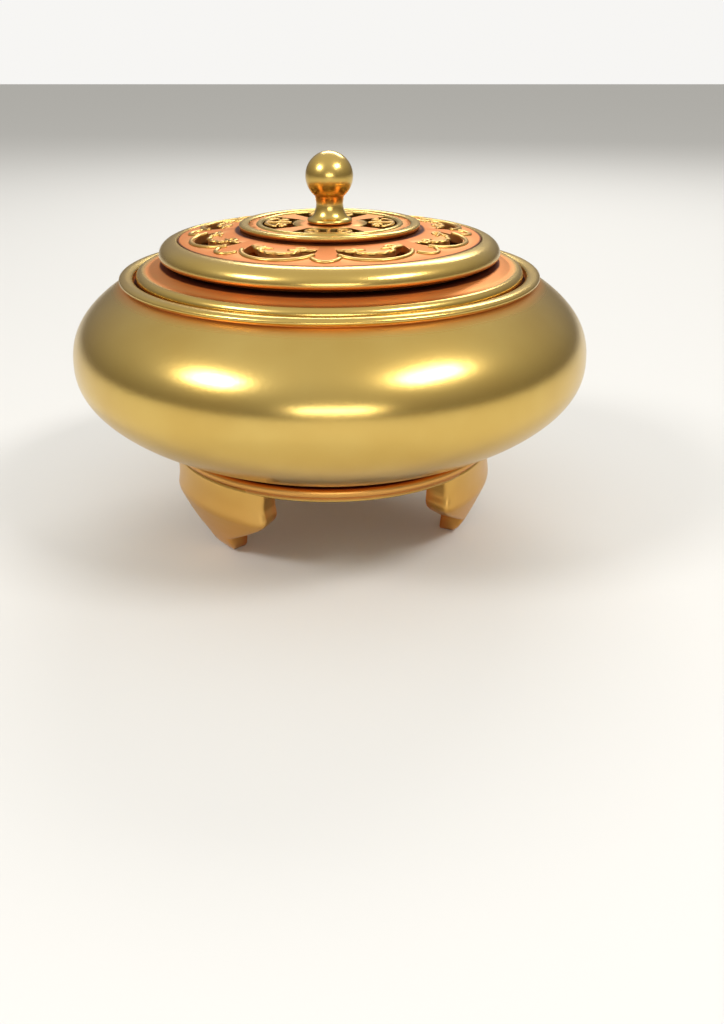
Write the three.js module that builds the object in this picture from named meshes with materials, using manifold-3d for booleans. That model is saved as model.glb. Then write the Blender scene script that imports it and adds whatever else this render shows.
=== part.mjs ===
// A lidded tripod incense burner in polished brass: a squat round bowl on a foot ring with three
// bracket feet, and a loose pierced lid with a ball knob. Millimetres, +Z up, origin on the axis
// at the floor under the feet.
import * as THREE from 'three';
import { mergeVertices } from 'three/addons/utils/BufferGeometryUtils.js';
import Module from 'manifold-3d';

const wasm = await Module();
wasm.setup();

// Heights of the bowl and lid are measured up from the underside of the foot ring
const FIT = 0.3; // clearance between pieces that touch
const SEGMENTS = 48; // facets around a large round piece
const SMALL_SEGMENTS = 24; // facets around a small round piece
const FOOT_DROP = 21; // foot ring underside above the floor
const RING_R = 41.8; // foot ring, outer wall
const RING_INNER_R = 33; // foot ring, bore around the base plate
const RING_BAND = 1.3; // plain band under the bead
const RING_TOP = 3.1; // flat top of the foot ring
const BEAD_PROUD = 0.6; // bead stands out from the ring wall
const BELLY_R = 65; // bowl at its widest
const BELLY_Z = 25.4; // height of the widest point
const SHOULDER_POWER = 2.4; // fullness of the shoulder
const BELLY_POWER = 2.2; // fullness of the underside
const WALL = 3.5; // bowl wall
const FLOOR = 4; // bowl floor
const RIM_Z = 44.2; // crease under the rim bead
const RIM_HEIGHT = 1.9; // rim bead above that crease
const RIM_R = 52.2; // rim bead, outside
const LIP_R = 48.8; // rim bead, inside
const MOUTH_R = 45.5; // mouth under the lid's seat
const SEAT_Z = 43.6; // ledge that the lid sits on
const SEAT_THICK = 1.6; // ledge thickness
const LID_PLAY = 0.8; // radial play of the lid inside the rim
const FLANGE_TOP = 47.2; // top of the lid flange's rolled edge
const FLANGE_RISE = 1; // flange rises by this to the dome's foot
const SKIRT_THICK = 2.2; // locating skirt under the flange
const SKIRT_DEPTH = 4; // skirt reaches this far into the mouth
const SKIRT_PLAY = 0.5; // radial play of the skirt in the mouth
const DOME_R = 42.2; // dome ring at its widest
const DOME_TOP_R = 37.6; // edge of the flat top
const DOME_HEIGHT = 5.4; // dome ring, foot to top
const DOME_WALL = 6; // dome ring's foot, radially
const GRILLE_THICK = 1.7; // pierced plate
const GRILLE_RISE = 1.8; // pierced plate rises by this to the centre disc
const LEDGE = 2; // ledge in the dome ring under the plate
const DISC_R = 22.3; // raised centre disc
const DISC_THICK = 1; // raised centre disc, without its beads
const DISC_BEAD = 0.45; // beads stand up from the disc by this
const INNER_BEAD_R = 18.1; // inner bead of the centre disc
const GRILLE_BORE_R = 19.5; // bore of the pierced plate under the disc
const VENTS = 8; // openings in the pierced plate
const VENT_R = 27.2; // radius to the centre of each opening's scroll
const VENT_HALF = 8.6; // half length of an opening, around the lid
const VENT_DEPTH = 6.8; // opening's outer edge beyond its scroll's centre
const VENT_BAND = 3.2; // width of the crescent
const DISC_VENTS = 4; // openings in the centre disc
const DISC_VENT_OUT_R = 16.6; // outer edge of those openings
const DISC_VENT_IN_R = 9.2; // inner edge of those openings
const DISC_VENT_HALF_ANGLE = 0.6; // half of the angle that one of them covers, radians
const KNOB_R = 5.8; // ball
const KNOB_BALL_Z = 10.8; // ball centre above the knob's base
const KNOB_NECK_R = 3.3; // waist of the stem
const KNOB_NECK_Z = 4.6; // height of the waist
const KNOB_BASE_R = 5.5; // foot of the stem
const STUD_R = 1.5; // stud through the disc
const STUD_IN_KNOB = 5; // stud length inside the knob
const WASHER_R = 5; // washer under the disc
const WASHER_THICK = 1;
const NUT_R = 3.4; // hexagon, across the corners, halved
const NUT_THICK = 2.2;
const STUD_END = 0.8; // stud end below the nut
const PLATE_THICK = 2.5; // base plate in the foot ring
const SEAL_R = 9.6; // plain roundel let into the base plate
const SEAL_THICK = 1.3;
const SEAL_SINK = 0.4; // roundel lies this far inside the plate's face
const FOOT_HALF_ANGLE = 27; // degrees, half width of a foot at the ring
const FOOT_ROOT = 8.6; // radial thickness of a foot at the ring
const FOOT_STEPS = 14; // facets across a foot
const FEET = { foot_front_left: -49, foot_right: 71, foot_rear: 191 }; // degrees from the front

// Outline of a foot, top to bottom: share of the drop, share of the half angle,
// how far the outer face lies inside the ring wall, share of the root thickness
const FOOT_OUTLINE = [
  [0, 1, 0, 1],
  [0.2, 0.98, -0.1, 1],
  [0.36, 1.01, -0.4, 1],
  [0.46, 0.92, 0.3, 0.96],
  [0.56, 0.74, 1.2, 0.9],
  [0.66, 0.53, 2.1, 0.85],
  [0.73, 0.38, 2.8, 0.8],
  [0.77, 0.29, 3.2, 0.77],
  [0.87, 0.25, 4.3, 0.68],
  [0.95, 0.2, 5.5, 0.58],
  [1, 0.14, 6.6, 0.47],
];

const POLISHED = { color: 0xc8aa5a, roughness: 0.28, metalness: 1 };
const MATTE = { color: 0xd8924a, roughness: 0.5, metalness: 0.9 };
const group = new THREE.Group();

function addPiece(name, geometry, finish) {
  const mesh = new THREE.Mesh(geometry, new THREE.MeshStandardMaterial(finish));
  mesh.name = name;
  group.add(mesh);
  return mesh;
}

// Closed outline of [radius, height] points turned around the axis
function turned(outline, segments = SEGMENTS) {
  const onAxis = outline[0][0] === 0;
  const points = outline.map(([r, z]) => new THREE.Vector2(r, FOOT_DROP + z));
  if (!onAxis) points.push(points[0].clone());
  const geometry = new THREE.LatheGeometry(points, segments);
  geometry.rotateX(Math.PI / 2);
  return geometry;
}

function toSolid(geometry) {
  const bare = geometry.clone();
  bare.deleteAttribute('normal');
  bare.deleteAttribute('uv');
  const merged = mergeVertices(bare, 1e-4);
  const vertProperties = new Float32Array(merged.attributes.position.array);
  const triVerts = new Uint32Array(merged.index.array);
  const solid = new wasm.Manifold(new wasm.Mesh({ numProp: 3, vertProperties, triVerts }));
  return solid;
}

function toGeometry(solid) {
  const mesh = solid.getMesh();
  const geometry = new THREE.BufferGeometry();
  geometry.setAttribute('position', new THREE.BufferAttribute(mesh.vertProperties, 3));
  geometry.setIndex(new THREE.BufferAttribute(mesh.triVerts, 1));
  return geometry;
}

function cut(geometry, cutters) {
  let solid = toSolid(geometry);
  for (const cutter of cutters) solid = solid.subtract(toSolid(cutter));
  return toGeometry(solid);
}

function arc(r, z, across, up, from, to, steps) {
  const points = [];
  for (let i = 0; i <= steps; i += 1) {
    const angle = from + ((to - from) * i) / steps;
    points.push([r + across * Math.cos(angle), z + up * Math.sin(angle)]);
  }
  return points;
}

// A swelling side between two points: the radius falls off as a power of the height
function swell(wideR, wideZ, endR, endZ, power, steps) {
  const points = [];
  for (let i = 0; i <= steps; i += 1) {
    const t = Math.sin(((i / steps) * Math.PI) / 2);
    points.push([endR + (wideR - endR) * (1 - t ** power), wideZ + (endZ - wideZ) * t]);
  }
  return points;
}

// Bowl
const bowlBottom = RING_TOP + FIT;
const bowlBottomR = RING_R - 0.3;
const ledgeUnder = SEAT_Z - SEAT_THICK;
const rimMid = RIM_Z + RIM_HEIGHT / 2;
const rimCentre = (RIM_R + LIP_R) / 2;
const bowl = [
  [0, bowlBottom],
  [bowlBottomR - 5, bowlBottom],
  ...swell(BELLY_R, BELLY_Z, bowlBottomR, bowlBottom + 0.6, BELLY_POWER, 9).reverse(),
  ...swell(BELLY_R, BELLY_Z, RIM_R - 1, RIM_Z, SHOULDER_POWER, 8).slice(1),
  ...arc(rimCentre, rimMid, RIM_R - rimCentre, RIM_HEIGHT / 2, -0.6, Math.PI - 0.2, 6),
  [LIP_R, SEAT_Z],
  [MOUTH_R, SEAT_Z],
  [MOUTH_R, ledgeUnder],
  ...swell(BELLY_R - WALL, BELLY_Z, LIP_R - 0.8, ledgeUnder - 0.3, SHOULDER_POWER, 6).reverse(),
  ...swell(BELLY_R - WALL, BELLY_Z, bowlBottomR - 4, bowlBottom + FLOOR, BELLY_POWER, 6).slice(1),
  [0, bowlBottom + FLOOR],
];
addPiece('bowl', turned(bowl), POLISHED);

// A foot, or the space that it takes out of the ring when it is grown by a clearance
function footBlock(azimuth, topZ, grow) {
  const rows = FOOT_OUTLINE.map(([drop, width, inset, thick]) => {
    const outer = RING_R - inset + grow;
    return {
      z: FOOT_DROP * (1 - drop),
      half: THREE.MathUtils.degToRad(FOOT_HALF_ANGLE * width) + grow / RING_R,
      outer,
      inner: outer - FOOT_ROOT * thick - 2 * grow,
    };
  });
  rows.unshift({ ...rows[0], z: FOOT_DROP + topZ });
  const columns = FOOT_STEPS + 1;
  const positions = [];
  const middle = THREE.MathUtils.degToRad(azimuth);
  for (const row of rows) {
    for (const side of [row.outer, row.inner]) {
      for (let i = 0; i < columns; i += 1) {
        const angle = middle + row.half * ((2 * i) / FOOT_STEPS - 1);
        positions.push(side * Math.sin(angle), -side * Math.cos(angle), row.z);
      }
    }
  }
  const at = (row, side, column) => (row * 2 + side) * columns + column;
  const index = [];
  const quad = (a, b, c, d) => index.push(a, b, c, a, c, d);
  const last = rows.length - 1;
  for (let row = 0; row < last; row += 1) {
    for (let i = 0; i < FOOT_STEPS; i += 1) {
      quad(at(row, 0, i), at(row + 1, 0, i), at(row + 1, 0, i + 1), at(row, 0, i + 1));
      quad(at(row, 1, i), at(row, 1, i + 1), at(row + 1, 1, i + 1), at(row + 1, 1, i));
    }
    quad(at(row, 1, 0), at(row + 1, 1, 0), at(row + 1, 0, 0), at(row, 0, 0));
    const end = FOOT_STEPS;
    quad(at(row, 0, end), at(row + 1, 0, end), at(row + 1, 1, end), at(row, 1, end));
  }
  for (let i = 0; i < FOOT_STEPS; i += 1) {
    quad(at(0, 0, i), at(0, 0, i + 1), at(0, 1, i + 1), at(0, 1, i));
    quad(at(last, 0, i), at(last, 1, i), at(last, 1, i + 1), at(last, 0, i + 1));
  }
  const geometry = new THREE.BufferGeometry();
  geometry.setAttribute('position', new THREE.Float32BufferAttribute(positions, 3));
  geometry.setIndex(index);
  return geometry;
}

// Foot ring with a bead under the bowl, notched where the feet reach up to the bead
const beadMid = (RING_BAND + RING_TOP) / 2;
const ring = [
  [RING_INNER_R, RING_TOP],
  [RING_INNER_R, 0.8],
  [RING_INNER_R + 0.8, 0],
  [RING_R - 0.3, 0],
  [RING_R, 0.3],
  [RING_R, RING_BAND],
  ...arc(RING_R, beadMid, BEAD_PROUD, beadMid - RING_BAND, -1.2, 1.2, 4),
  [bowlBottomR - 0.3, RING_TOP + 0.3],
  [bowlBottomR - 5, RING_TOP],
];
const footTop = RING_BAND - FIT;
const notches = Object.values(FEET).map((azimuth) => footBlock(azimuth, RING_BAND, 2 * FIT));
addPiece('foot_ring', cut(turned(ring), notches), POLISHED);
for (const [name, azimuth] of Object.entries(FEET)) {
  addPiece(name, footBlock(azimuth, footTop, 0), POLISHED);
}

// Base plate with a plain roundel let into it
const plateR = RING_INNER_R - FIT;
const plateUnder = RING_TOP - PLATE_THICK;
const pocketZ = plateUnder + SEAL_SINK + SEAL_THICK + FIT;
const basePlate = [
  [0, pocketZ],
  [SEAL_R + FIT, pocketZ],
  [SEAL_R + FIT, plateUnder],
  [plateR - 0.5, plateUnder],
  [plateR, plateUnder + 0.5],
  [plateR, RING_TOP],
  [0, RING_TOP],
];
addPiece('base_plate', turned(basePlate), POLISHED);
const sealUnder = plateUnder + SEAL_SINK;
const seal = [
  [0, sealUnder],
  [SEAL_R, sealUnder],
  [SEAL_R, sealUnder + SEAL_THICK],
  [0, sealUnder + SEAL_THICK],
];
addPiece('seal_roundel', turned(seal, SMALL_SEGMENTS), POLISHED);

// Lid flange: a rolled edge inside the rim, a matte slope and a skirt in the mouth
const flangeR = LIP_R - LID_PLAY;
const flangeUnder = SEAT_Z + FIT;
const rollMid = (flangeUnder + FLANGE_TOP) / 2;
const skirtR = MOUTH_R - SKIRT_PLAY;
const skirtInner = skirtR - SKIRT_THICK;
const domeFoot = FLANGE_TOP + FLANGE_RISE + FIT;
const domeInner = DOME_R - DOME_WALL;
const flange = [
  [domeInner, domeFoot - FIT],
  [domeInner, domeFoot - FIT - 1.5],
  [skirtInner, flangeUnder],
  [skirtInner, flangeUnder - SKIRT_DEPTH],
  [skirtR, flangeUnder - SKIRT_DEPTH],
  [skirtR, flangeUnder],
  ...arc(flangeR - 1.6, rollMid, 1.6, rollMid - flangeUnder, -1.3, 1.5, 6),
  [flangeR - 2.7, FLANGE_TOP - 0.3],
  [DOME_R - 0.2, domeFoot - FIT],
];
addPiece('lid_flange', turned(flange), POLISHED);

// Dome ring with a ledge that carries the pierced plate
const domeTop = domeFoot + DOME_HEIGHT;
const domeMid = domeFoot + DOME_HEIGHT * 0.35;
const ledgeZ = domeTop - GRILLE_THICK - FIT;
const dome = [
  [domeInner, ledgeZ - LEDGE],
  [domeInner, domeFoot],
  ...arc(DOME_TOP_R - 1, domeMid, DOME_R - DOME_TOP_R + 1, domeMid - domeFoot, -0.9, 0, 3),
  ...arc(DOME_TOP_R, domeMid, DOME_R - DOME_TOP_R, domeTop - domeMid, 0, Math.PI / 2, 7).slice(1),
  [DOME_TOP_R, ledgeZ],
  [DOME_TOP_R - LEDGE, ledgeZ],
];
addPiece('lid_dome', turned(dome), POLISHED);

// Upright prism over an outline given as [tangential, radial] points around one azimuth
function prism(outline, azimuth, lowZ, highZ) {
  const shape = new THREE.Shape(outline.map(([x, y]) => new THREE.Vector2(x, y)));
  const geometry = new THREE.ExtrudeGeometry(shape, { depth: highZ - lowZ, bevelEnabled: false });
  geometry.rotateZ(azimuth);
  geometry.translate(0, 0, FOOT_DROP + lowZ);
  return geometry;
}

// Pierced plate: a shallow cone with crescents that wrap round scroll tongues
const grilleR = DOME_TOP_R - FIT;
const grilleEdge = domeTop - 0.05;
const grilleInnerTop = grilleEdge + GRILLE_RISE;
const grille = [
  [GRILLE_BORE_R, grilleInnerTop],
  [GRILLE_BORE_R, grilleInnerTop - GRILLE_THICK],
  [DISC_R + 0.8, grilleInnerTop - GRILLE_THICK],
  [grilleR, grilleEdge - GRILLE_THICK],
  [grilleR, grilleEdge],
  [DISC_R + 0.8, grilleInnerTop],
];
const crescent = [
  ...arc(0, VENT_R, VENT_HALF, VENT_DEPTH, -0.35, Math.PI + 0.35, 14),
  ...arc(0, VENT_R, VENT_HALF - VENT_BAND, VENT_DEPTH - VENT_BAND, Math.PI, 0, 8),
];
const ventTool = (outline, count, index, turn) =>
  prism(outline, ((index + turn) * 2 * Math.PI) / count, ledgeZ - LEDGE, grilleInnerTop + LEDGE);
const crescents = Array.from({ length: VENTS }, (_, i) => ventTool(crescent, VENTS, i, 0.5));
addPiece('lid_grille', cut(turned(grille), crescents), MATTE);

// Raised centre disc with two beads and curved openings round the knob
const discUnder = grilleInnerTop + FIT;
const discTop = discUnder + DISC_THICK;
const studHole = STUD_R + FIT;
const disc = [
  [studHole, discTop],
  [studHole, discUnder],
  [DISC_R - 0.2, discUnder],
  ...arc(DISC_R - 1.2, discTop, 1.2, DISC_BEAD, 0, Math.PI, 5),
  ...arc(INNER_BEAD_R - 0.7, discTop, 0.7, DISC_BEAD, 0, Math.PI, 4),
];
const half = DISC_VENT_HALF_ANGLE;
const kidney = [
  ...arc(0, 0, DISC_VENT_OUT_R, DISC_VENT_OUT_R, Math.PI / 2 - half, Math.PI / 2 + half, 8),
  ...arc(0, 0, DISC_VENT_IN_R, DISC_VENT_IN_R, Math.PI / 2 + half, Math.PI / 2 - half, 5),
];
const kidneys = Array.from({ length: DISC_VENTS }, (_, i) => ventTool(kidney, DISC_VENTS, i, 0));
addPiece('lid_rosette', cut(turned(disc), kidneys), POLISHED);

// Knob: flared foot, waisted stem and ball, with a blind bore for the stud
const knobUnder = discTop + FIT;
const ballZ = knobUnder + KNOB_BALL_Z;
const neckZ = knobUnder + KNOB_NECK_Z;
const boreTop = knobUnder + STUD_IN_KNOB + FIT;
const collar = Math.asin(KNOB_NECK_R / KNOB_R) - Math.PI / 2;
const stem = neckZ - knobUnder - 0.8;
const knob = [
  [0, boreTop],
  [studHole, boreTop],
  [studHole, knobUnder],
  [KNOB_BASE_R, knobUnder],
  [KNOB_BASE_R, knobUnder + 0.8],
  ...arc(KNOB_BASE_R, neckZ, KNOB_BASE_R - KNOB_NECK_R, stem, -1.9, -Math.PI, 5),
  ...arc(0, ballZ, KNOB_R, KNOB_R, collar + 0.05, Math.PI / 2, 11).slice(0, -1),
  [0, ballZ + KNOB_R],
];
addPiece('knob', turned(knob, SMALL_SEGMENTS), POLISHED);

// Stud, washer and nut that hold the knob on the disc
const washerTop = discUnder - FIT;
const nutTop = washerTop - WASHER_THICK - FIT;
const studEnd = nutTop - NUT_THICK - STUD_END;
const stud = [
  [0, studEnd],
  [STUD_R, studEnd],
  [STUD_R, knobUnder + STUD_IN_KNOB],
  [0, knobUnder + STUD_IN_KNOB],
];
addPiece('knob_stud', turned(stud, SMALL_SEGMENTS), POLISHED);
const tube = (outerR, topZ, thick) => [
  [studHole, topZ],
  [studHole, topZ - thick],
  [outerR, topZ - thick],
  [outerR, topZ],
];
addPiece('knob_washer', turned(tube(WASHER_R, washerTop, WASHER_THICK), SMALL_SEGMENTS), POLISHED);
const NUT_SIDES = 6;
addPiece('knob_nut', turned(tube(NUT_R, nutTop, NUT_THICK), NUT_SIDES), POLISHED);

export default group;
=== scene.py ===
import math

import bmesh
import bpy
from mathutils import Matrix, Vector


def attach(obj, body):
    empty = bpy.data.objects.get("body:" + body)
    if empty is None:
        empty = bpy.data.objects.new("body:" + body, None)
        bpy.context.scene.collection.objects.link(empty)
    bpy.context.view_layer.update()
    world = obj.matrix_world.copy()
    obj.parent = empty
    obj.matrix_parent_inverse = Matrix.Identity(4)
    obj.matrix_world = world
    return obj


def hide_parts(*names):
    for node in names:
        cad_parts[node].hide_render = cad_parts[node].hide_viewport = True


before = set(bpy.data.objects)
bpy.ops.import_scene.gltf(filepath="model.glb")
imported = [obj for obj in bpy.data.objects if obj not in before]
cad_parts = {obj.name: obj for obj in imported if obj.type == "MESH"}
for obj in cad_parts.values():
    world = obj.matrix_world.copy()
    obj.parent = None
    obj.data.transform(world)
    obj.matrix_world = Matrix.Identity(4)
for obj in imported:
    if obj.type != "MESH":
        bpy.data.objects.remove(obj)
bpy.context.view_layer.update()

# Sizes in millimetres; heights of the bowl and lid are measured up from the foot ring's underside
MM = 0.001
FOOT_DROP = 21
FIT = 0.3  # clearance between pieces
ROUND = 192  # sides of a turned piece
RING_R = 41.8
RING_INNER_R = 33
RING_BAND = 1.3
RING_TOP = 3.1
BELLY_R = 65
BELLY_Z = 25.4
RIM_Z = 44.2
RIM_R = 52.2
LIP_R = 48.8
MOUTH_R = 45.5
SEAT_Z = 43.6
DOME_TOP_R = 37.6
DOME_TOP_Z = 53.9
DISC_R = 22.3
DISC_UNDER_Z = 55.95
DISC_TOP_Z = 56.95
INNER_BEAD_R = 18.1
VENTS = 8
VENT_R = 27.2
VENT_HALF = 8.6
VENT_DEPTH = 6.8
VENT_BAND = 3.2
SHOULDER_POWER = 2.4
BELLY_POWER = 2.2
WALL = 3.5
FLOOR = 4
BOWL_FOOT_R = 41.5  # where the bowl's side meets its underside
FLAT_R = 36.5  # edge of the flat underside
RIM_HALF = 0.95  # half of the rim bead's height
SEAT_THICK = 1.6
BEAD_PROUD = 0.6
RING_EDGE = 0.8  # rounding of the ring's inner edge
PLATE_R = 32.7
PLATE_UNDER = 0.6
PLATE_POCKET_R = 9.9
PLATE_POCKET_Z = 2.8
SEAL_R = 9.6
SEAL_UNDER = 1.0
SEAL_TOP = 2.3
GROOVES = 5
GROOVE_STEP = 1.7
FLANGE_UNDER = 43.9
FLANGE_TOP = 48.2
ROLL_R = 46.4  # this radius and height are the middle of the flange's rolled edge
ROLL_Z = 45.55
ROLL_HALF = 1.6
SKIRT_R = 45.0
SKIRT_INNER_R = 42.8
SKIRT_UNDER = 39.9
DOME_INNER_R = 36.2
DOME_FOOT_Z = 48.5
DOME_WIDE_Z = 50.39
DOME_SWELL = 4.6  # how far the widest line stands out past the top edge
LEDGE_Z = 51.9
LEDGE_R = 35.6
GRILLE_R = 37.3
GRILLE_FLAT_R = 23.1  # the plate is level inside this radius, under the disc
GRILLE_BORE_R = 19.5
GRILLE_RISE = 1.8
GRILLE_FLAT_UNDER = 54.0
GRILLE_EDGE_UNDER = 52.15
STUD_HOLE_R = 1.8
DISC_VENTS = 4
DISC_VENT_OUT_R = 16.6
DISC_VENT_IN_R = 9.2
DISC_VENT_HALF_ANGLE = 0.6  # radians
BEAD_RISE = 0.45
DISC_BEAD_HALF = 1.2
INNER_BEAD_HALF = 0.7
DISC_GROUND_R = 20.6
DISC_MIDDLE_R = 6.0
SMALL_LOBE_Y = 30.6
SMALL_LOBE_HALF = 3.3
SMALL_LOBE_DEPTH = 4.1
CURL_R = 1.7
CURL_OUT = 5.0  # curls' distance to each side of an opening's middle
PETAL_Y = 12.4
PETAL_HALF = 5.4
PETAL_DEPTH = 3.2
PETAL_CURL_R = 2.0
PETAL_CURL_OUT = 3.4
VEIN_START = 9.4
VEIN_STEP = 0.62
VEIN_POINTS = 11
KNOB_UNDER_Z = 57.25
KNOB_BORE_TOP = 62.55
KNOB_R = 5.8
KNOB_BASE_R = 5.5
KNOB_NECK_R = 3.3
KNOB_NECK_Z = 4.6  # waist above the knob's foot
KNOB_BALL_Z = 10.8  # ball's centre above the knob's foot
RIDGE = 0.62  # radius of the lid's main raised lines
STRAND = 0.5  # radius of its finer lines
FEET = {"foot_front_left": -49, "foot_right": 71, "foot_rear": 191}
FOOT_HALF_ANGLE = 27
FOOT_ROOT = 8.6  # thickness of a foot at its top
# The photograph's height, and the burner's camera in its pixels
PHOTO_H = 1024
PIXEL_MM = 0.254
CAMERA_DISTANCE_PX = 1000
CAMERA_RIGHT_PX = 31.3
CAMERA_UP_PX = 385
CAMERA_PITCH = 25.26
SENSOR_MM = 36

# Finish values held by an attribute on each point: patina, and on the feet also a painted reflection of a
# warm floor
POLISHED = 0.0
PATINA = 0.5
SEAM = 1.0


def srgb(code):
    """Linear colour from an sRGB hex value."""
    parts = [int(code[i:i + 2], 16) / 255 for i in (1, 3, 5)]
    linear = [c / 12.92 if c <= 0.04045 else ((c + 0.055) / 1.055) ** 2.4 for c in parts]
    return (*linear, 1.0)


def add(tree, kind, settings=None, links=None, **values):
    """A node with its settings, socket values and incoming links."""
    node = tree.nodes.new(kind)
    for key, value in (settings or {}).items():
        setattr(node, key, value)
    for key, value in values.items():
        node.inputs[key.replace("_", " ")].default_value = value
    for key, source in (links or {}).items():
        tree.links.new(source, node.inputs[key])
    return node


def brass(name, bright, dark, patina_and_reflection_colour, seam_colour, roughness, scratch):
    """Turned and hand-polished brass: golden and satin, with orange patina left in the recesses, and the
    same orange laid on the feet as a painted reflection of a warm floor.
    """
    material = bpy.data.materials.new(name)
    material.use_nodes = True
    tree = material.node_tree
    tree.nodes.clear()
    place = add(tree, "ShaderNodeTexCoord").outputs["Object"]
    cloud = add(tree, "ShaderNodeTexNoise", links={"Vector": place}, Scale=45.0, Detail=4.0)
    fine = add(tree, "ShaderNodeTexNoise", links={"Vector": place}, Scale=900.0, Detail=3.0)
    stain = add(tree, "ShaderNodeTexNoise", links={"Vector": place}, Scale=160.0, Detail=5.0)
    tone = add(tree, "ShaderNodeMix", {"data_type": "RGBA"})
    tone.inputs[6].default_value = srgb(bright)
    tone.inputs[7].default_value = srgb(dark)
    tree.links.new(cloud.outputs["Fac"], tone.inputs[0])
    mark = add(tree, "ShaderNodeAttribute", {"attribute_name": "patina_and_painted_reflection"}).outputs["Fac"]
    uneven = add(tree, "ShaderNodeMath", {"operation": "MULTIPLY_ADD"})
    tree.links.new(stain.outputs["Fac"], uneven.inputs[0])
    uneven.inputs[1].default_value = 0.3
    uneven.inputs[2].default_value = -0.15
    shown = add(tree, "ShaderNodeMath", {"operation": "MULTIPLY"})
    tree.links.new(uneven.outputs[0], shown.inputs[0])
    tree.links.new(mark, shown.inputs[1])
    level = add(tree, "ShaderNodeMath", {"operation": "ADD", "use_clamp": True})
    tree.links.new(mark, level.inputs[0])
    tree.links.new(shown.outputs[0], level.inputs[1])
    ramp = add(tree, "ShaderNodeValToRGB", links={"Fac": level.outputs[0]})
    ramp.color_ramp.elements[0].color = (0, 0, 0, 1)
    ramp.color_ramp.elements[1].position = 0.45
    ramp.color_ramp.elements[1].color = (1, 1, 1, 1)
    stained = add(tree, "ShaderNodeMix", {"data_type": "RGBA"})
    tree.links.new(ramp.outputs["Color"], stained.inputs[0])
    tree.links.new(tone.outputs[2], stained.inputs[6])
    stained.inputs[7].default_value = srgb(patina_and_reflection_colour)
    seam = add(tree, "ShaderNodeMapRange", links={"Value": level.outputs[0]})
    seam.inputs["From Min"].default_value = 0.65
    seam.inputs["From Max"].default_value = 0.95
    seamed = add(tree, "ShaderNodeMix", {"data_type": "RGBA"})
    tree.links.new(seam.outputs["Result"], seamed.inputs[0])
    tree.links.new(stained.outputs[2], seamed.inputs[6])
    seamed.inputs[7].default_value = srgb(seam_colour)
    rough = add(tree, "ShaderNodeMapRange", links={"Value": level.outputs[0]})
    rough.inputs["To Min"].default_value = roughness
    rough.inputs["To Max"].default_value = 0.62
    smear = add(tree, "ShaderNodeMath", {"operation": "MULTIPLY_ADD"})
    tree.links.new(cloud.outputs["Fac"], smear.inputs[0])
    smear.inputs[1].default_value = 0.1
    tree.links.new(rough.outputs["Result"], smear.inputs[2])
    grain = {"Height": fine.outputs["Fac"]}
    bump = add(tree, "ShaderNodeBump", links=grain, Strength=scratch, Distance=0.0002)
    shader = add(tree, "ShaderNodeBsdfPrincipled", Metallic=1.0)
    tree.links.new(seamed.outputs[2], shader.inputs["Base Color"])
    tree.links.new(smear.outputs[0], shader.inputs["Roughness"])
    tree.links.new(bump.outputs["Normal"], shader.inputs["Normal"])
    out = add(tree, "ShaderNodeOutputMaterial")
    tree.links.new(shader.outputs[0], out.inputs["Surface"])
    return material


# Satin-polished cast brass of the bowl, lid and knob: pale gold, with soft wide highlights
satin_brass = brass("satin_polished_brass", "#E2C474", "#C9A350", "#D98B45", "#5A2A18", 0.2, 0.08)
# Acid-stained ground of the pierced plate: orange to peach, with no clear reflection
stained_brass = brass("orange_stained_brass", "#DCA866", "#D28E4C", "#CE8042", "#4A2014", 0.42, 0.25)
# Lacquered amber brass of the base: deeper and smoother
amber_brass = brass("amber_base_brass", "#E0B050", "#CC9638", "#A8642C", "#4A2814", 0.24, 0.1)


def piece(name, verts, faces, marks, material, body, nodes, slot, smooth=True):
    """A finished mesh in place, riding on its body and standing for its CAD nodes."""
    mesh = bpy.data.meshes.new(name)
    mesh.from_pydata([(x * MM, y * MM, (z + FOOT_DROP) * MM) for x, y, z in verts], [], faces)
    layer = mesh.attributes.new("patina_and_painted_reflection", "FLOAT", "POINT")
    layer.data.foreach_set("value", marks)
    for face in mesh.polygons:
        face.use_smooth = smooth
    mesh.materials.append(material)
    obj = bpy.data.objects.new(name, mesh)
    bpy.context.scene.collection.objects.link(obj)
    if body:
        settle(obj, body, nodes)
    return obj


def settle(obj, body, nodes):
    """The piece rides on its body and stands for its CAD nodes."""
    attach(obj, body)
    if nodes:
        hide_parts(*nodes)


def arc(r, z, across, up, start, end, steps, mark=POLISHED):
    """Points of an elliptical arc in a profile."""
    angles = [start + (end - start) * i / steps for i in range(steps + 1)]
    return [(r + across * math.cos(a), z + up * math.sin(a), mark) for a in angles]


def swell(wide_r, wide_z, end_r, end_z, power, steps):
    """A side that swells from an end to its widest point."""
    points = []
    for i in range(steps + 1):
        t = math.sin(i / steps * math.pi / 2)
        points.append((end_r + (wide_r - end_r) * (1 - t ** power), wide_z + (end_z - wide_z) * t, POLISHED))
    return points


def turned(profile, segments=ROUND):
    """Vertices, faces and marks of a closed profile turned around the axis, faces out."""
    verts, marks, rings = [], [], []
    for r, z, mark in profile:
        if r == 0:
            rings.append([len(verts)] * segments)
            verts.append((0, 0, z))
            marks.append(mark)
            continue
        first = len(verts)
        rings.append([first + i for i in range(segments)])
        for i in range(segments):
            a = 2 * math.pi * i / segments
            verts.append((r * math.cos(a), r * math.sin(a), z))
            marks.append(mark)
    pairs = list(zip(rings, rings[1:]))
    if profile[0][0] != 0:
        pairs.append((rings[-1], rings[0]))
    faces = []
    for low, high in pairs:
        for i in range(segments):
            j = (i + 1) % segments
            corners = list(dict.fromkeys((low[i], low[j], high[j], high[i])))
            if len(corners) > 2:
                faces.append(corners)
    return verts, faces, marks


def smeared(profile, near, width, mark):
    """The profile with its patina raised close to one height."""
    result = []
    for r, z, old in profile:
        nearness = max(0.0, 1 - abs(z - near) / width)
        result.append((r, z, max(old, mark * nearness)))
    return result


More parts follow.
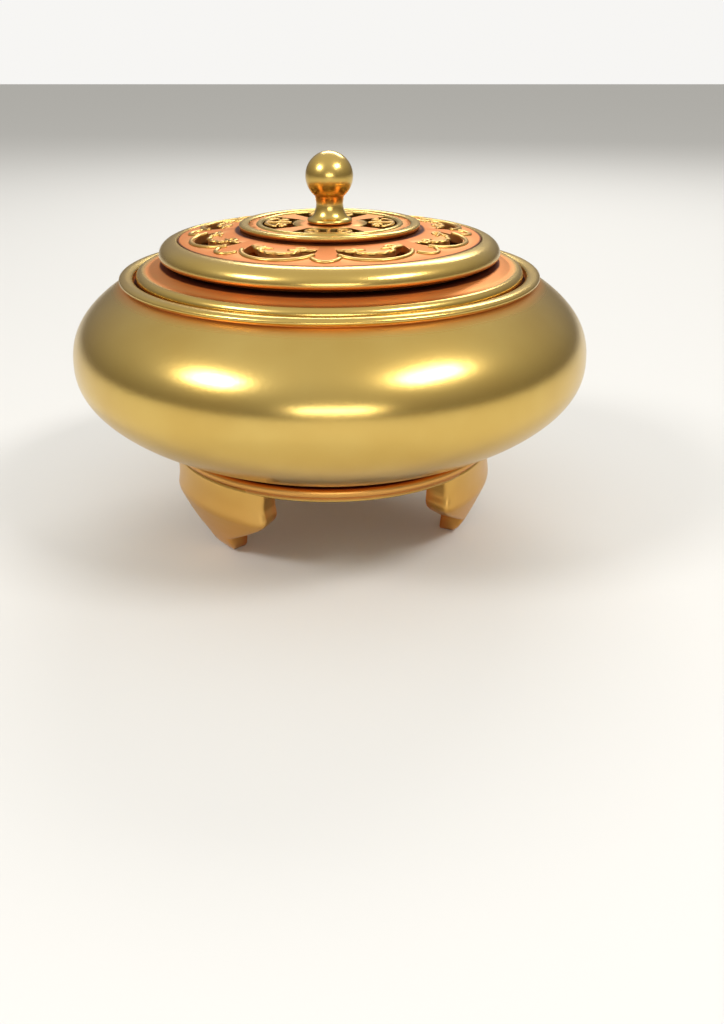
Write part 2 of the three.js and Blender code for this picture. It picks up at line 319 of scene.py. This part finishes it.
# Bowl, with patina under the rim and at the foot
bottom = RING_TOP + FIT
bowl_foot_z = bottom + 0.6
rim_mid = RIM_Z + RIM_HALF
rim_centre = (RIM_R + LIP_R) / 2
ledge_under = SEAT_Z - SEAT_THICK
outside = [(0, bottom, PATINA), (FLAT_R, bottom, SEAM)]
outside += swell(BELLY_R, BELLY_Z, BOWL_FOOT_R, bowl_foot_z, BELLY_POWER, 40)[::-1]
outside += swell(BELLY_R, BELLY_Z, RIM_R - 1, RIM_Z, SHOULDER_POWER, 40)[1:]
outside = smeared(outside, bowl_foot_z, 3.0, 0.35)
outside = smeared(outside, RIM_Z, 1.8, 0.42)
rim = arc(rim_centre, rim_mid, RIM_R - rim_centre, RIM_HALF, -0.6, math.pi - 0.2, 14)
inside = [(LIP_R, SEAT_Z, SEAM), (MOUTH_R, SEAT_Z, PATINA), (MOUTH_R, ledge_under, PATINA)]
inner_r = BELLY_R - WALL
inner = swell(inner_r, BELLY_Z, LIP_R - 0.8, ledge_under - 0.3, SHOULDER_POWER, 16)[::-1]
inner += swell(inner_r, BELLY_Z, BOWL_FOOT_R - FLOOR, bottom + FLOOR, BELLY_POWER, 16)[1:]
inside += [(r, z, 0.35) for r, z, mark in inner] + [(0, bottom + FLOOR, PATINA)]
piece("turned_bowl", *turned(outside + rim + inside), satin_brass, "burner", ["bowl"], "polished_brass")

# Foot ring with its bead
bead_mid = (RING_BAND + RING_TOP) / 2
band_r = RING_R - 0.05
ring = [(RING_INNER_R, RING_TOP, SEAM), (RING_INNER_R, RING_EDGE, SEAM)]
ring += arc(RING_INNER_R + RING_EDGE, RING_EDGE, RING_EDGE, RING_EDGE, math.pi, 1.5 * math.pi, 5)
ring += [(band_r - 0.3, 0, POLISHED), (band_r, 0.3, POLISHED), (band_r, RING_BAND - 0.1, PATINA)]
ring += arc(RING_R, bead_mid, BEAD_PROUD, bead_mid - RING_BAND, -1.2, 1.2, 10, 0.25)
ring += [(BOWL_FOOT_R - 0.3, RING_TOP + 0.3, SEAM), (FLAT_R, RING_TOP, SEAM)]
piece("beaded_foot_ring", *turned(ring), satin_brass, "burner", ["foot_ring"], "polished_brass")

# Outline of a foot, top to bottom: share of the drop, share of the half angle,
# how far the outer face lies inside the ring wall, share of the root thickness
FOOT_OUTLINE = [
    (0, 1, 0, 1),
    (0.2, 0.98, -0.1, 1),
    (0.36, 1.01, -0.4, 1),
    (0.46, 0.92, 0.3, 0.96),
    (0.56, 0.74, 1.2, 0.9),
    (0.66, 0.53, 2.1, 0.85),
    (0.73, 0.38, 2.8, 0.8),
    (0.77, 0.29, 3.2, 0.77),
    (0.87, 0.25, 4.3, 0.68),
    (0.95, 0.2, 5.5, 0.58),
    (1, 0.14, 6.6, 0.47),
]


def smooth_between(p, q, r, s, t):
    """A value between q and r on a smooth curve through p, q, r and s."""
    square = (2 * p - 5 * q + 4 * r - s) * t * t
    cube = (3 * q - p - 3 * r + s) * t ** 3
    return 0.5 * (2 * q + (r - p) * t + square + cube)


def blended(table, steps):
    """Rows between the rows of a table, on a smooth curve through them."""
    rows = []
    for i in range(len(table) - 1):
        before = table[max(i - 1, 0)]
        after = table[min(i + 2, len(table) - 1)]
        columns = list(zip(before, table[i], table[i + 1], after))
        for k in range(steps):
            rows.append([smooth_between(*column, k / steps) for column in columns])
    rows.append(list(table[-1]))
    return rows


def square_corner(way):
    """A point of a square's outline, anticlockwise, one side for each unit of the way."""
    side = int(way)
    along = 2 * (way - side) - 1
    return [(1, along), (-along, 1), (-1, -along), (along, -1)][side]


def foot(name, azimuth):
    """A bracket foot whose corners are slightly rounded, with an orange painted reflection of a warm floor,
    strongest on its inner face and towards its tip.
    """
    corner_power = 9
    around = 72
    rows = blended(FOOT_OUTLINE, 5)
    verts, marks = [], []
    levels = [(RING_BAND - FIT, rows[0])] + [(-FOOT_DROP * row[0], row) for row in rows]
    for z, (drop, width, inset, thick) in levels:
        outer = RING_R - inset
        thickness = FOOT_ROOT * thick
        half = math.radians(FOOT_HALF_ANGLE * width)
        for i in range(around):
            u, v = square_corner(4 * i / around)
            size = (abs(u) ** corner_power + abs(v) ** corner_power) ** (1 / corner_power)
            u, v = u / size, v / size
            angle = math.radians(azimuth) + half * u
            radius = outer - thickness / 2 + thickness / 2 * v
            verts.append((radius * math.sin(angle), -radius * math.cos(angle), z))
            # Painted reflection: orange standing for a warm floor, stronger on the inner face and towards
            # the tip
            marks.append(0.12 + 0.3 * max(0.0, -v) + 0.12 * drop)
    faces = stacked(len(levels), around)
    obj = piece(name + "_bracket", verts, faces, marks, satin_brass, None, None, None)
    outward(obj)
    settle(obj, "burner", [name])


def stacked(levels, around):
    """Faces that join equal loops of points one after another, closed at both ends."""
    faces = []
    for level in range(levels - 1):
        low = level * around
        high = low + around
        for i in range(around):
            j = (i + 1) % around
            faces.append((low + i, low + j, high + j, high + i))
    faces.append(tuple(range(around)))
    last = (levels - 1) * around
    faces.append(tuple(last + i for i in reversed(range(around))))
    return faces


def outward(obj):
    """Doubles merged and faces turned outwards."""
    shell = bmesh.new()
    shell.from_mesh(obj.data)
    bmesh.ops.remove_doubles(shell, verts=shell.verts, dist=1e-7)
    bmesh.ops.recalc_face_normals(shell, faces=shell.faces)
    shell.to_mesh(obj.data)
    shell.free()


for foot_name, foot_azimuth in FEET.items():
    foot(foot_name, foot_azimuth)

# Base plate and plain roundel with turned rings
base = [(0, PLATE_POCKET_Z, SEAM), (PLATE_POCKET_R, PLATE_POCKET_Z, SEAM)]
base += [(PLATE_POCKET_R, PLATE_UNDER + 0.3, PATINA), (PLATE_POCKET_R + 0.4, PLATE_UNDER, POLISHED)]
base += [(PLATE_R - 0.7, PLATE_UNDER, POLISHED), (PLATE_R - 0.2, PLATE_UNDER + 0.15, PATINA)]
base += [(PLATE_R, PLATE_UNDER + 0.5, SEAM), (PLATE_R, RING_TOP, SEAM), (0, RING_TOP, SEAM)]
piece("polished_base_plate", *turned(base), amber_brass, "burner", ["base_plate"], "base_brass")
seal = [(0, SEAL_UNDER, POLISHED)]
for groove in range(1, GROOVES + 1):
    groove_r = groove * GROOVE_STEP
    seal.append((groove_r - 0.5, SEAL_UNDER, POLISHED))
    seal.append((groove_r - 0.2, SEAL_UNDER + 0.15, PATINA))
    seal.append((groove_r + 0.1, SEAL_UNDER, POLISHED))
seal += [(SEAL_R, SEAL_UNDER + 0.05, PATINA), (SEAL_R, SEAL_TOP, SEAM), (0, SEAL_TOP, SEAM)]
piece("turned_seal_roundel", *turned(seal, 96), amber_brass, "burner", ["seal_roundel"], "base_brass")

# Lid flange: rolled edge, matte slope, skirt
flange = [(DOME_INNER_R, FLANGE_TOP, SEAM), (DOME_INNER_R, FLANGE_TOP - 1.5, PATINA)]
flange += [(SKIRT_INNER_R, FLANGE_UNDER, PATINA), (SKIRT_INNER_R, SKIRT_UNDER, PATINA)]
flange += [(SKIRT_R, SKIRT_UNDER, PATINA), (SKIRT_R, FLANGE_UNDER, PATINA)]
flange += arc(ROLL_R, ROLL_Z, ROLL_HALF, ROLL_Z - FLANGE_UNDER, -1.3, 1.5, 14)
flange += [(45.3, 46.9, PATINA), (44.4, 47.25, 0.42), (42.6, 48.0, 0.5), (41.9, FLANGE_TOP, SEAM)]
piece("rolled_lid_flange", *turned(flange), satin_brass, "lid", ["lid_flange"], "polished_brass")

# Dome ring, with patina low down
dome_up = DOME_TOP_Z - DOME_WIDE_Z
dome_down = DOME_WIDE_Z - DOME_FOOT_Z
dome = [(DOME_INNER_R, LEDGE_Z - 2, PATINA), (DOME_INNER_R, DOME_FOOT_Z, SEAM)]
dome += arc(DOME_TOP_R - 1, DOME_WIDE_Z, DOME_SWELL + 1, dome_down, -0.9, 0, 8, 0.3)
dome += arc(DOME_TOP_R, DOME_WIDE_Z, DOME_SWELL, dome_up, 0, math.pi / 2, 20)[1:]
dome += [(DOME_TOP_R, LEDGE_Z, SEAM), (LEDGE_R, LEDGE_Z, SEAM)]
dome = smeared(dome, DOME_FOOT_Z, 1.7, 0.75)
piece("bulging_dome_ring", *turned(dome), satin_brass, "lid", ["lid_dome"], "polished_brass")


def plate_top(r):
    """Height of the pierced plate's top at a radius."""
    share = min(max((GRILLE_R - r) / (GRILLE_R - GRILLE_FLAT_R), 0), 1)
    return DOME_TOP_Z - 0.05 + GRILLE_RISE * share


def extruded(outline, low, high):
    """A closed prism over an outline, used to cut an opening."""
    count = len(outline)
    verts = [(x, y, low) for x, y in outline] + [(x, y, high) for x, y in outline]
    faces = [tuple(reversed(range(count))), tuple(range(count, 2 * count))]
    faces += [(i, (i + 1) % count, count + (i + 1) % count, count + i) for i in range(count)]
    obj = piece("cutter", verts, faces, [SEAM] * len(verts), stained_brass, None, None, None, smooth=False)
    outward(obj)
    return obj


def rotated(points, angle):
    """Plan points turned around the axis."""
    c, s = math.cos(angle), math.sin(angle)
    return [(x * c - y * s, x * s + y * c) for x, y in points]


def pierce(obj, outlines, low, high):
    """Cut upright openings through a piece."""
    for outline in outlines:
        cutter = extruded(outline, low, high)
        modifier = obj.modifiers.new("opening", "BOOLEAN")
        modifier.operation = "DIFFERENCE"
        modifier.solver = "EXACT"
        modifier.object = cutter
        bpy.context.view_layer.update()
        result = bpy.data.meshes.new_from_object(obj.evaluated_get(bpy.context.evaluated_depsgraph_get()))
        obj.modifiers.clear()
        obj.data = result
        bpy.data.objects.remove(cutter)


def flat_arc(centre, across, up, start, end, steps):
    """Plan points of an elliptical arc whose centre lies on the Y axis."""
    angles = [start + (end - start) * i / steps for i in range(steps + 1)]
    return [(across * math.cos(a), centre + up * math.sin(a)) for a in angles]


# Pierced plate
crescent = flat_arc(VENT_R, VENT_HALF, VENT_DEPTH, -0.35, math.pi + 0.35, 36)
crescent += flat_arc(VENT_R, VENT_HALF - VENT_BAND, VENT_DEPTH - VENT_BAND, math.pi, 0, 24)
plate = [(GRILLE_BORE_R, plate_top(GRILLE_BORE_R), PATINA), (GRILLE_BORE_R, GRILLE_FLAT_UNDER, SEAM)]
plate += [(GRILLE_FLAT_R, GRILLE_FLAT_UNDER, SEAM), (GRILLE_R, GRILLE_EDGE_UNDER, SEAM)]
upper = [(GRILLE_R, SEAM), (GRILLE_R - 0.7, PATINA), (GRILLE_FLAT_R + 0.5, 0.7), (GRILLE_FLAT_R, SEAM)]
plate += [(r, plate_top(r), mark) for r, mark in upper]
grille = piece("pierced_top_plate", *turned(plate), stained_brass, None, None, None, smooth=False)
turns = [2 * math.pi * (i + 0.5) / VENTS for i in range(VENTS)]
pierce(grille, [rotated(crescent, turn) for turn in turns], 48, 60)
settle(grille, "lid", ["lid_grille"])


def strand(points, radius, height_at, taper=0.0):
    """A round strand along plan points, half sunk in the surface below it."""
    sides = 8
    verts = []
    count = len(points)
    for k, (x, y) in enumerate(points):
        ahead = points[min(k + 1, count - 1)]
        behind = points[max(k - 1, 0)]
        dx, dy = ahead[0] - behind[0], ahead[1] - behind[1]
        size = math.hypot(dx, dy) or 1
        nx, ny = -dy / size, dx / size
        along = k / (count - 1)
        r = radius * (1 - taper * abs(2 * along - 1) ** 3)
        base_z = height_at(math.hypot(x, y))
        for i in range(sides):
            a = 2 * math.pi * i / sides
            out = r * math.cos(a)
            verts.append((x + nx * out, y + ny * out, base_z + 0.8 * r * math.sin(a)))
    return verts, stacked(count, sides)


def joined(parts):
    """One list of vertices and one of faces from several."""
    verts, faces = [], []
    for part_verts, part_faces in parts:
        first = len(verts)
        verts += part_verts
        faces += [tuple(first + i for i in face) for face in part_faces]
    return verts, faces


def repeated_round(obj, count, material, name):
    """The object's mesh repeated around the axis by Geometry Nodes, as a plain mesh."""
    tree = bpy.data.node_groups.new(name, "GeometryNodeTree")
    tree.interface.new_socket("Geometry", in_out="INPUT", socket_type="NodeSocketGeometry")
    copies = tree.interface.new_socket("Copies", in_out="INPUT", socket_type="NodeSocketInt")
    tree.interface.new_socket("Geometry", in_out="OUTPUT", socket_type="NodeSocketGeometry")
    given = add(tree, "NodeGroupInput")
    points = add(tree, "GeometryNodePoints", links={"Count": given.outputs["Copies"]})
    number = add(tree, "GeometryNodeInputIndex")
    step = add(tree, "ShaderNodeMath", {"operation": "DIVIDE"})
    step.inputs[0].default_value = 2 * math.pi
    tree.links.new(given.outputs["Copies"], step.inputs[1])
    turn = add(tree, "ShaderNodeMath", {"operation": "MULTIPLY"})
    tree.links.new(number.outputs[0], turn.inputs[0])
    tree.links.new(step.outputs[0], turn.inputs[1])
    spin = add(tree, "ShaderNodeCombineXYZ", links={"Z": turn.outputs[0]})
    placed = add(tree, "GeometryNodeInstanceOnPoints", links={
        "Points": points.outputs[0], "Instance": given.outputs["Geometry"], "Rotation": spin.outputs[0]})
    real = add(tree, "GeometryNodeRealizeInstances", links={"Geometry": placed.outputs[0]})
    coated = add(tree, "GeometryNodeSetMaterial", links={"Geometry": real.outputs[0]}, Material=material)
    add(tree, "NodeGroupOutput", links={"Geometry": coated.outputs[0]})
    modifier = obj.modifiers.new(name, "NODES")
    modifier.node_group = tree
    modifier[copies.identifier] = count
    bpy.context.view_layer.update()
    result = bpy.data.meshes.new_from_object(obj.evaluated_get(bpy.context.evaluated_depsgraph_get()))
    obj.modifiers.clear()
    obj.data = result


def curl(x, y, radius, start, sweep, steps=18):
    """A spiral that tightens to its middle, in plan."""
    points = []
    for i in range(steps + 1):
        t = i / steps
        r = radius * (1 - 0.75 * t)
        a = start + sweep * t
        points.append((x + r * math.cos(a), y + r * math.sin(a)))
    return points


# Raised scrollwork of one opening: the large lobe, the small lobe beside it, the tongue and its curls
half_turn = math.pi / VENTS
motif = []
large_lobe = flat_arc(VENT_R, VENT_HALF + 0.55, VENT_DEPTH + 0.75, 0.22, math.pi - 0.22, 40)
motif.append(strand(large_lobe, RIDGE, plate_top))
small_lobe = flat_arc(SMALL_LOBE_Y, SMALL_LOBE_HALF, SMALL_LOBE_DEPTH, 0.35, math.pi - 0.35, 18)
motif.append(strand(rotated(small_lobe, -half_turn), RIDGE * 0.9, plate_top))
tongue = []
tongue_steps = 48
for step in range(tongue_steps + 1):
    a = math.pi - 0.1 - (math.pi - 0.2) * step / tongue_steps
    inset = 0.3 * math.cos(10 * a) - VENT_BAND - 0.5
    tongue.append(((VENT_HALF + inset) * math.cos(a), VENT_R + (VENT_DEPTH + inset) * math.sin(a)))
motif.append(strand(tongue, STRAND, plate_top))
for side in (-1, 1):
    spiral = curl(0, 0, CURL_R, math.pi, -side * 4.6)
    spiral = [(side * CURL_OUT - x, VENT_R - 0.6 + y) for x, y in spiral]
    motif.append(strand(spiral, STRAND, plate_top, 0.2))
    hook = flat_arc(VENT_R - 1.6, VENT_HALF - 0.4, 1.9, 0.2, 1.35, 12)
    motif.append(strand([(side * x, y - 0.3) for x, y in hook], STRAND * 0.9, plate_top, 0.4))
scroll_verts, scroll_faces = joined(motif)
scroll_verts = [(*rotated([(x, y)], half_turn)[0], z) for x, y, z in scroll_verts]
scroll_marks = [0.1] * len(scroll_verts)
relief = piece("lid_scroll_relief", scroll_verts, scroll_faces, scroll_marks, satin_brass, None, None, None)
outward(relief)
repeated_round(relief, VENTS, satin_brass, "scroll_relief_round_lid")
settle(relief, "lid", None)

# Raised centre disc
disc_profile = [(STUD_HOLE_R, DISC_TOP_Z, PATINA), (STUD_HOLE_R, DISC_UNDER_Z, SEAM)]
disc_profile += [(DISC_R - 0.2, DISC_UNDER_Z, SEAM)]
disc_bead_mid = DISC_R - DISC_BEAD_HALF
inner_bead_mid = INNER_BEAD_R - INNER_BEAD_HALF
disc_profile += arc(disc_bead_mid, DISC_TOP_Z, DISC_BEAD_HALF, BEAD_RISE, 0, math.pi, 10)
disc_profile += [(DISC_GROUND_R, DISC_TOP_Z, PATINA), (INNER_BEAD_R + 0.2, DISC_TOP_Z, PATINA)]
disc_profile += arc(inner_bead_mid, DISC_TOP_Z, INNER_BEAD_HALF, BEAD_RISE, 0, math.pi, 8)
disc_profile += [(inner_bead_mid - 0.9, DISC_TOP_Z, PATINA), (DISC_MIDDLE_R, DISC_TOP_Z, PATINA)]
rosette = piece("pierced_centre_disc", *turned(disc_profile), satin_brass, None, None, None)
low_angle = math.pi / 2 - DISC_VENT_HALF_ANGLE
high_angle = math.pi / 2 + DISC_VENT_HALF_ANGLE
kidney = flat_arc(0, DISC_VENT_OUT_R, DISC_VENT_OUT_R, low_angle, high_angle, 24)
kidney += flat_arc(0, DISC_VENT_IN_R, DISC_VENT_IN_R, high_angle, low_angle, 14)
disc_turns = [2 * math.pi * i / DISC_VENTS for i in range(DISC_VENTS)]
pierce(rosette, [rotated(kidney, turn) for turn in disc_turns], 50, 60)
settle(rosette, "lid", ["lid_rosette"])


def disc_top(r):
    """Height of the centre disc's top, which is the same at every radius."""
    return DISC_TOP_Z


# Raised scrollwork of one opening of the disc: the lobe, its two curls and the vein
petal = []
petal_lobe = flat_arc(PETAL_Y, PETAL_HALF, PETAL_DEPTH, 0.1, math.pi - 0.1, 28)
petal.append(strand(petal_lobe, STRAND, disc_top, 0.2))
for side in (-1, 1):
    spiral = curl(0, 0, PETAL_CURL_R, 0.0, -4.4)
    spiral = [(side * (PETAL_CURL_OUT + x), PETAL_Y - 0.2 + y) for x, y in spiral]
    petal.append(strand(spiral, STRAND, disc_top, 0.2))
vein = [(0, VEIN_START + VEIN_STEP * i) for i in range(VEIN_POINTS)]
petal.append(strand(vein, STRAND, disc_top))
petal_verts, petal_faces = joined(petal)
petal_marks = [0.15] * len(petal_verts)
petals = piece("disc_scroll_relief", petal_verts, petal_faces, petal_marks, satin_brass, None, None, None)
outward(petals)
repeated_round(petals, DISC_VENTS, satin_brass, "scroll_relief_round_disc")
settle(petals, "lid", None)

# Knob
knob = [(0, KNOB_BORE_TOP, SEAM), (STUD_HOLE_R, KNOB_BORE_TOP, SEAM)]
knob += [(STUD_HOLE_R, KNOB_UNDER_Z, SEAM), (KNOB_BASE_R - 0.1, KNOB_UNDER_Z, SEAM)]
knob += [(KNOB_BASE_R, KNOB_UNDER_Z + 0.25, POLISHED), (KNOB_BASE_R, KNOB_UNDER_Z + 0.75, POLISHED)]
neck_z = KNOB_UNDER_Z + KNOB_NECK_Z
knob += arc(KNOB_BASE_R, neck_z, KNOB_BASE_R - KNOB_NECK_R, KNOB_NECK_Z - 0.8, -1.9, -math.pi, 18)
ball_z = KNOB_UNDER_Z + KNOB_BALL_Z
collar = math.asin(KNOB_NECK_R / KNOB_R) - math.pi / 2
knob += arc(0, ball_z, KNOB_R, KNOB_R, collar + 0.05, math.pi / 2, 40)[:-1]
knob += [(0, ball_z + KNOB_R, POLISHED)]
knob = smeared(knob, neck_z + 1.0, 1.6, 0.3)
piece("ball_knob", *turned(knob, 96), satin_brass, "lid", ["knob"], "polished_brass")

# Hidden fastenings keep their solids and take the base's brass
for node_name in ("knob_stud", "knob_washer", "knob_nut"):
    node_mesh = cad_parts[node_name].data
    node_mesh.materials.clear()
    node_mesh.materials.append(amber_brass)


# Floor, light and camera
def stage_material():
    """Pale matte paper."""
    material = bpy.data.materials.new("pale_studio_paper")
    material.use_nodes = True
    shader = material.node_tree.nodes["Principled BSDF"]
    shader.inputs["Base Color"].default_value = srgb("#D8D6D2")
    shader.inputs["Roughness"].default_value = 0.9
    return material


bpy.ops.mesh.primitive_plane_add(size=6, location=(0, 0, -0.0005))
floor = bpy.context.object
floor.name = "studio_floor"
floor.data.materials.append(stage_material())


def lamp(name, location, size, size_y, watts, aim=(0, 0, 0.05)):
    """A rectangular lamp aimed at a place, by default the burner's middle."""
    data = bpy.data.lights.new(name, "AREA")
    data.shape = "RECTANGLE"
    data.size = size
    data.size_y = size_y
    data.energy = watts
    obj = bpy.data.objects.new(name, data)
    obj.location = location
    direction = Vector(aim) - Vector(location)
    obj.rotation_euler = direction.to_track_quat("-Z", "Y").to_euler()
    bpy.context.scene.collection.objects.link(obj)


lamp("left_softbox", (-0.55, -0.35, 0.6), 0.25, 0.18, 3)
lamp("right_softbox", (0.45, -0.3, 0.65), 0.3, 0.14, 3)
lamp("front_low_softbox", (0.05, -0.9, 0.25), 0.5, 0.1, 1.5)
lamp("back_softbox", (0.1, 0.7, 0.6), 0.6, 0.2, 3)

world = bpy.data.worlds.new("soft_studio")
world.use_nodes = True
sky = world.node_tree
sky.nodes.clear()
camera_ray = add(sky, "ShaderNodeLightPath").outputs["Is Camera Ray"]
look = add(sky, "ShaderNodeTexCoord").outputs["Generated"]
height = add(sky, "ShaderNodeSeparateXYZ", links={"Vector": look}).outputs["Z"]
gradient = add(sky, "ShaderNodeValToRGB", links={"Fac": height})
gradient.color_ramp.elements[0].color = (0.2, 0.18, 0.15, 1)
gradient.color_ramp.elements[1].position = 0.9
gradient.color_ramp.elements[1].color = (0.75, 0.75, 0.73, 1)
# Pale to the camera alone: the metal reflects the darker gradient
seen = add(sky, "ShaderNodeMix", {"data_type": "RGBA"}, {0: camera_ray, 6: gradient.outputs["Color"]})
seen.inputs[7].default_value = (0.93, 0.92, 0.9, 1)
backdrop = add(sky, "ShaderNodeBackground", links={"Color": seen.outputs[2]}, Strength=1.0)
add(sky, "ShaderNodeOutputWorld", links={"Surface": backdrop.outputs[0]})
bpy.context.scene.world = world

camera_data = bpy.data.cameras.new("photo_camera")
camera_data.sensor_width = SENSOR_MM
camera_data.lens = CAMERA_DISTANCE_PX / PHOTO_H * SENSOR_MM
camera_data.clip_start = 0.01
camera = bpy.data.objects.new("photo_camera", camera_data)
camera.location = (
    CAMERA_RIGHT_PX * PIXEL_MM * MM,
    -CAMERA_DISTANCE_PX * PIXEL_MM * MM,
    (CAMERA_UP_PX * PIXEL_MM + FOOT_DROP) * MM,
)
camera.rotation_euler = (math.radians(90 - CAMERA_PITCH), 0, 0)
bpy.context.scene.collection.objects.link(camera)
bpy.context.scene.camera = camera
bpy.context.scene.view_settings.view_transform = "Standard"
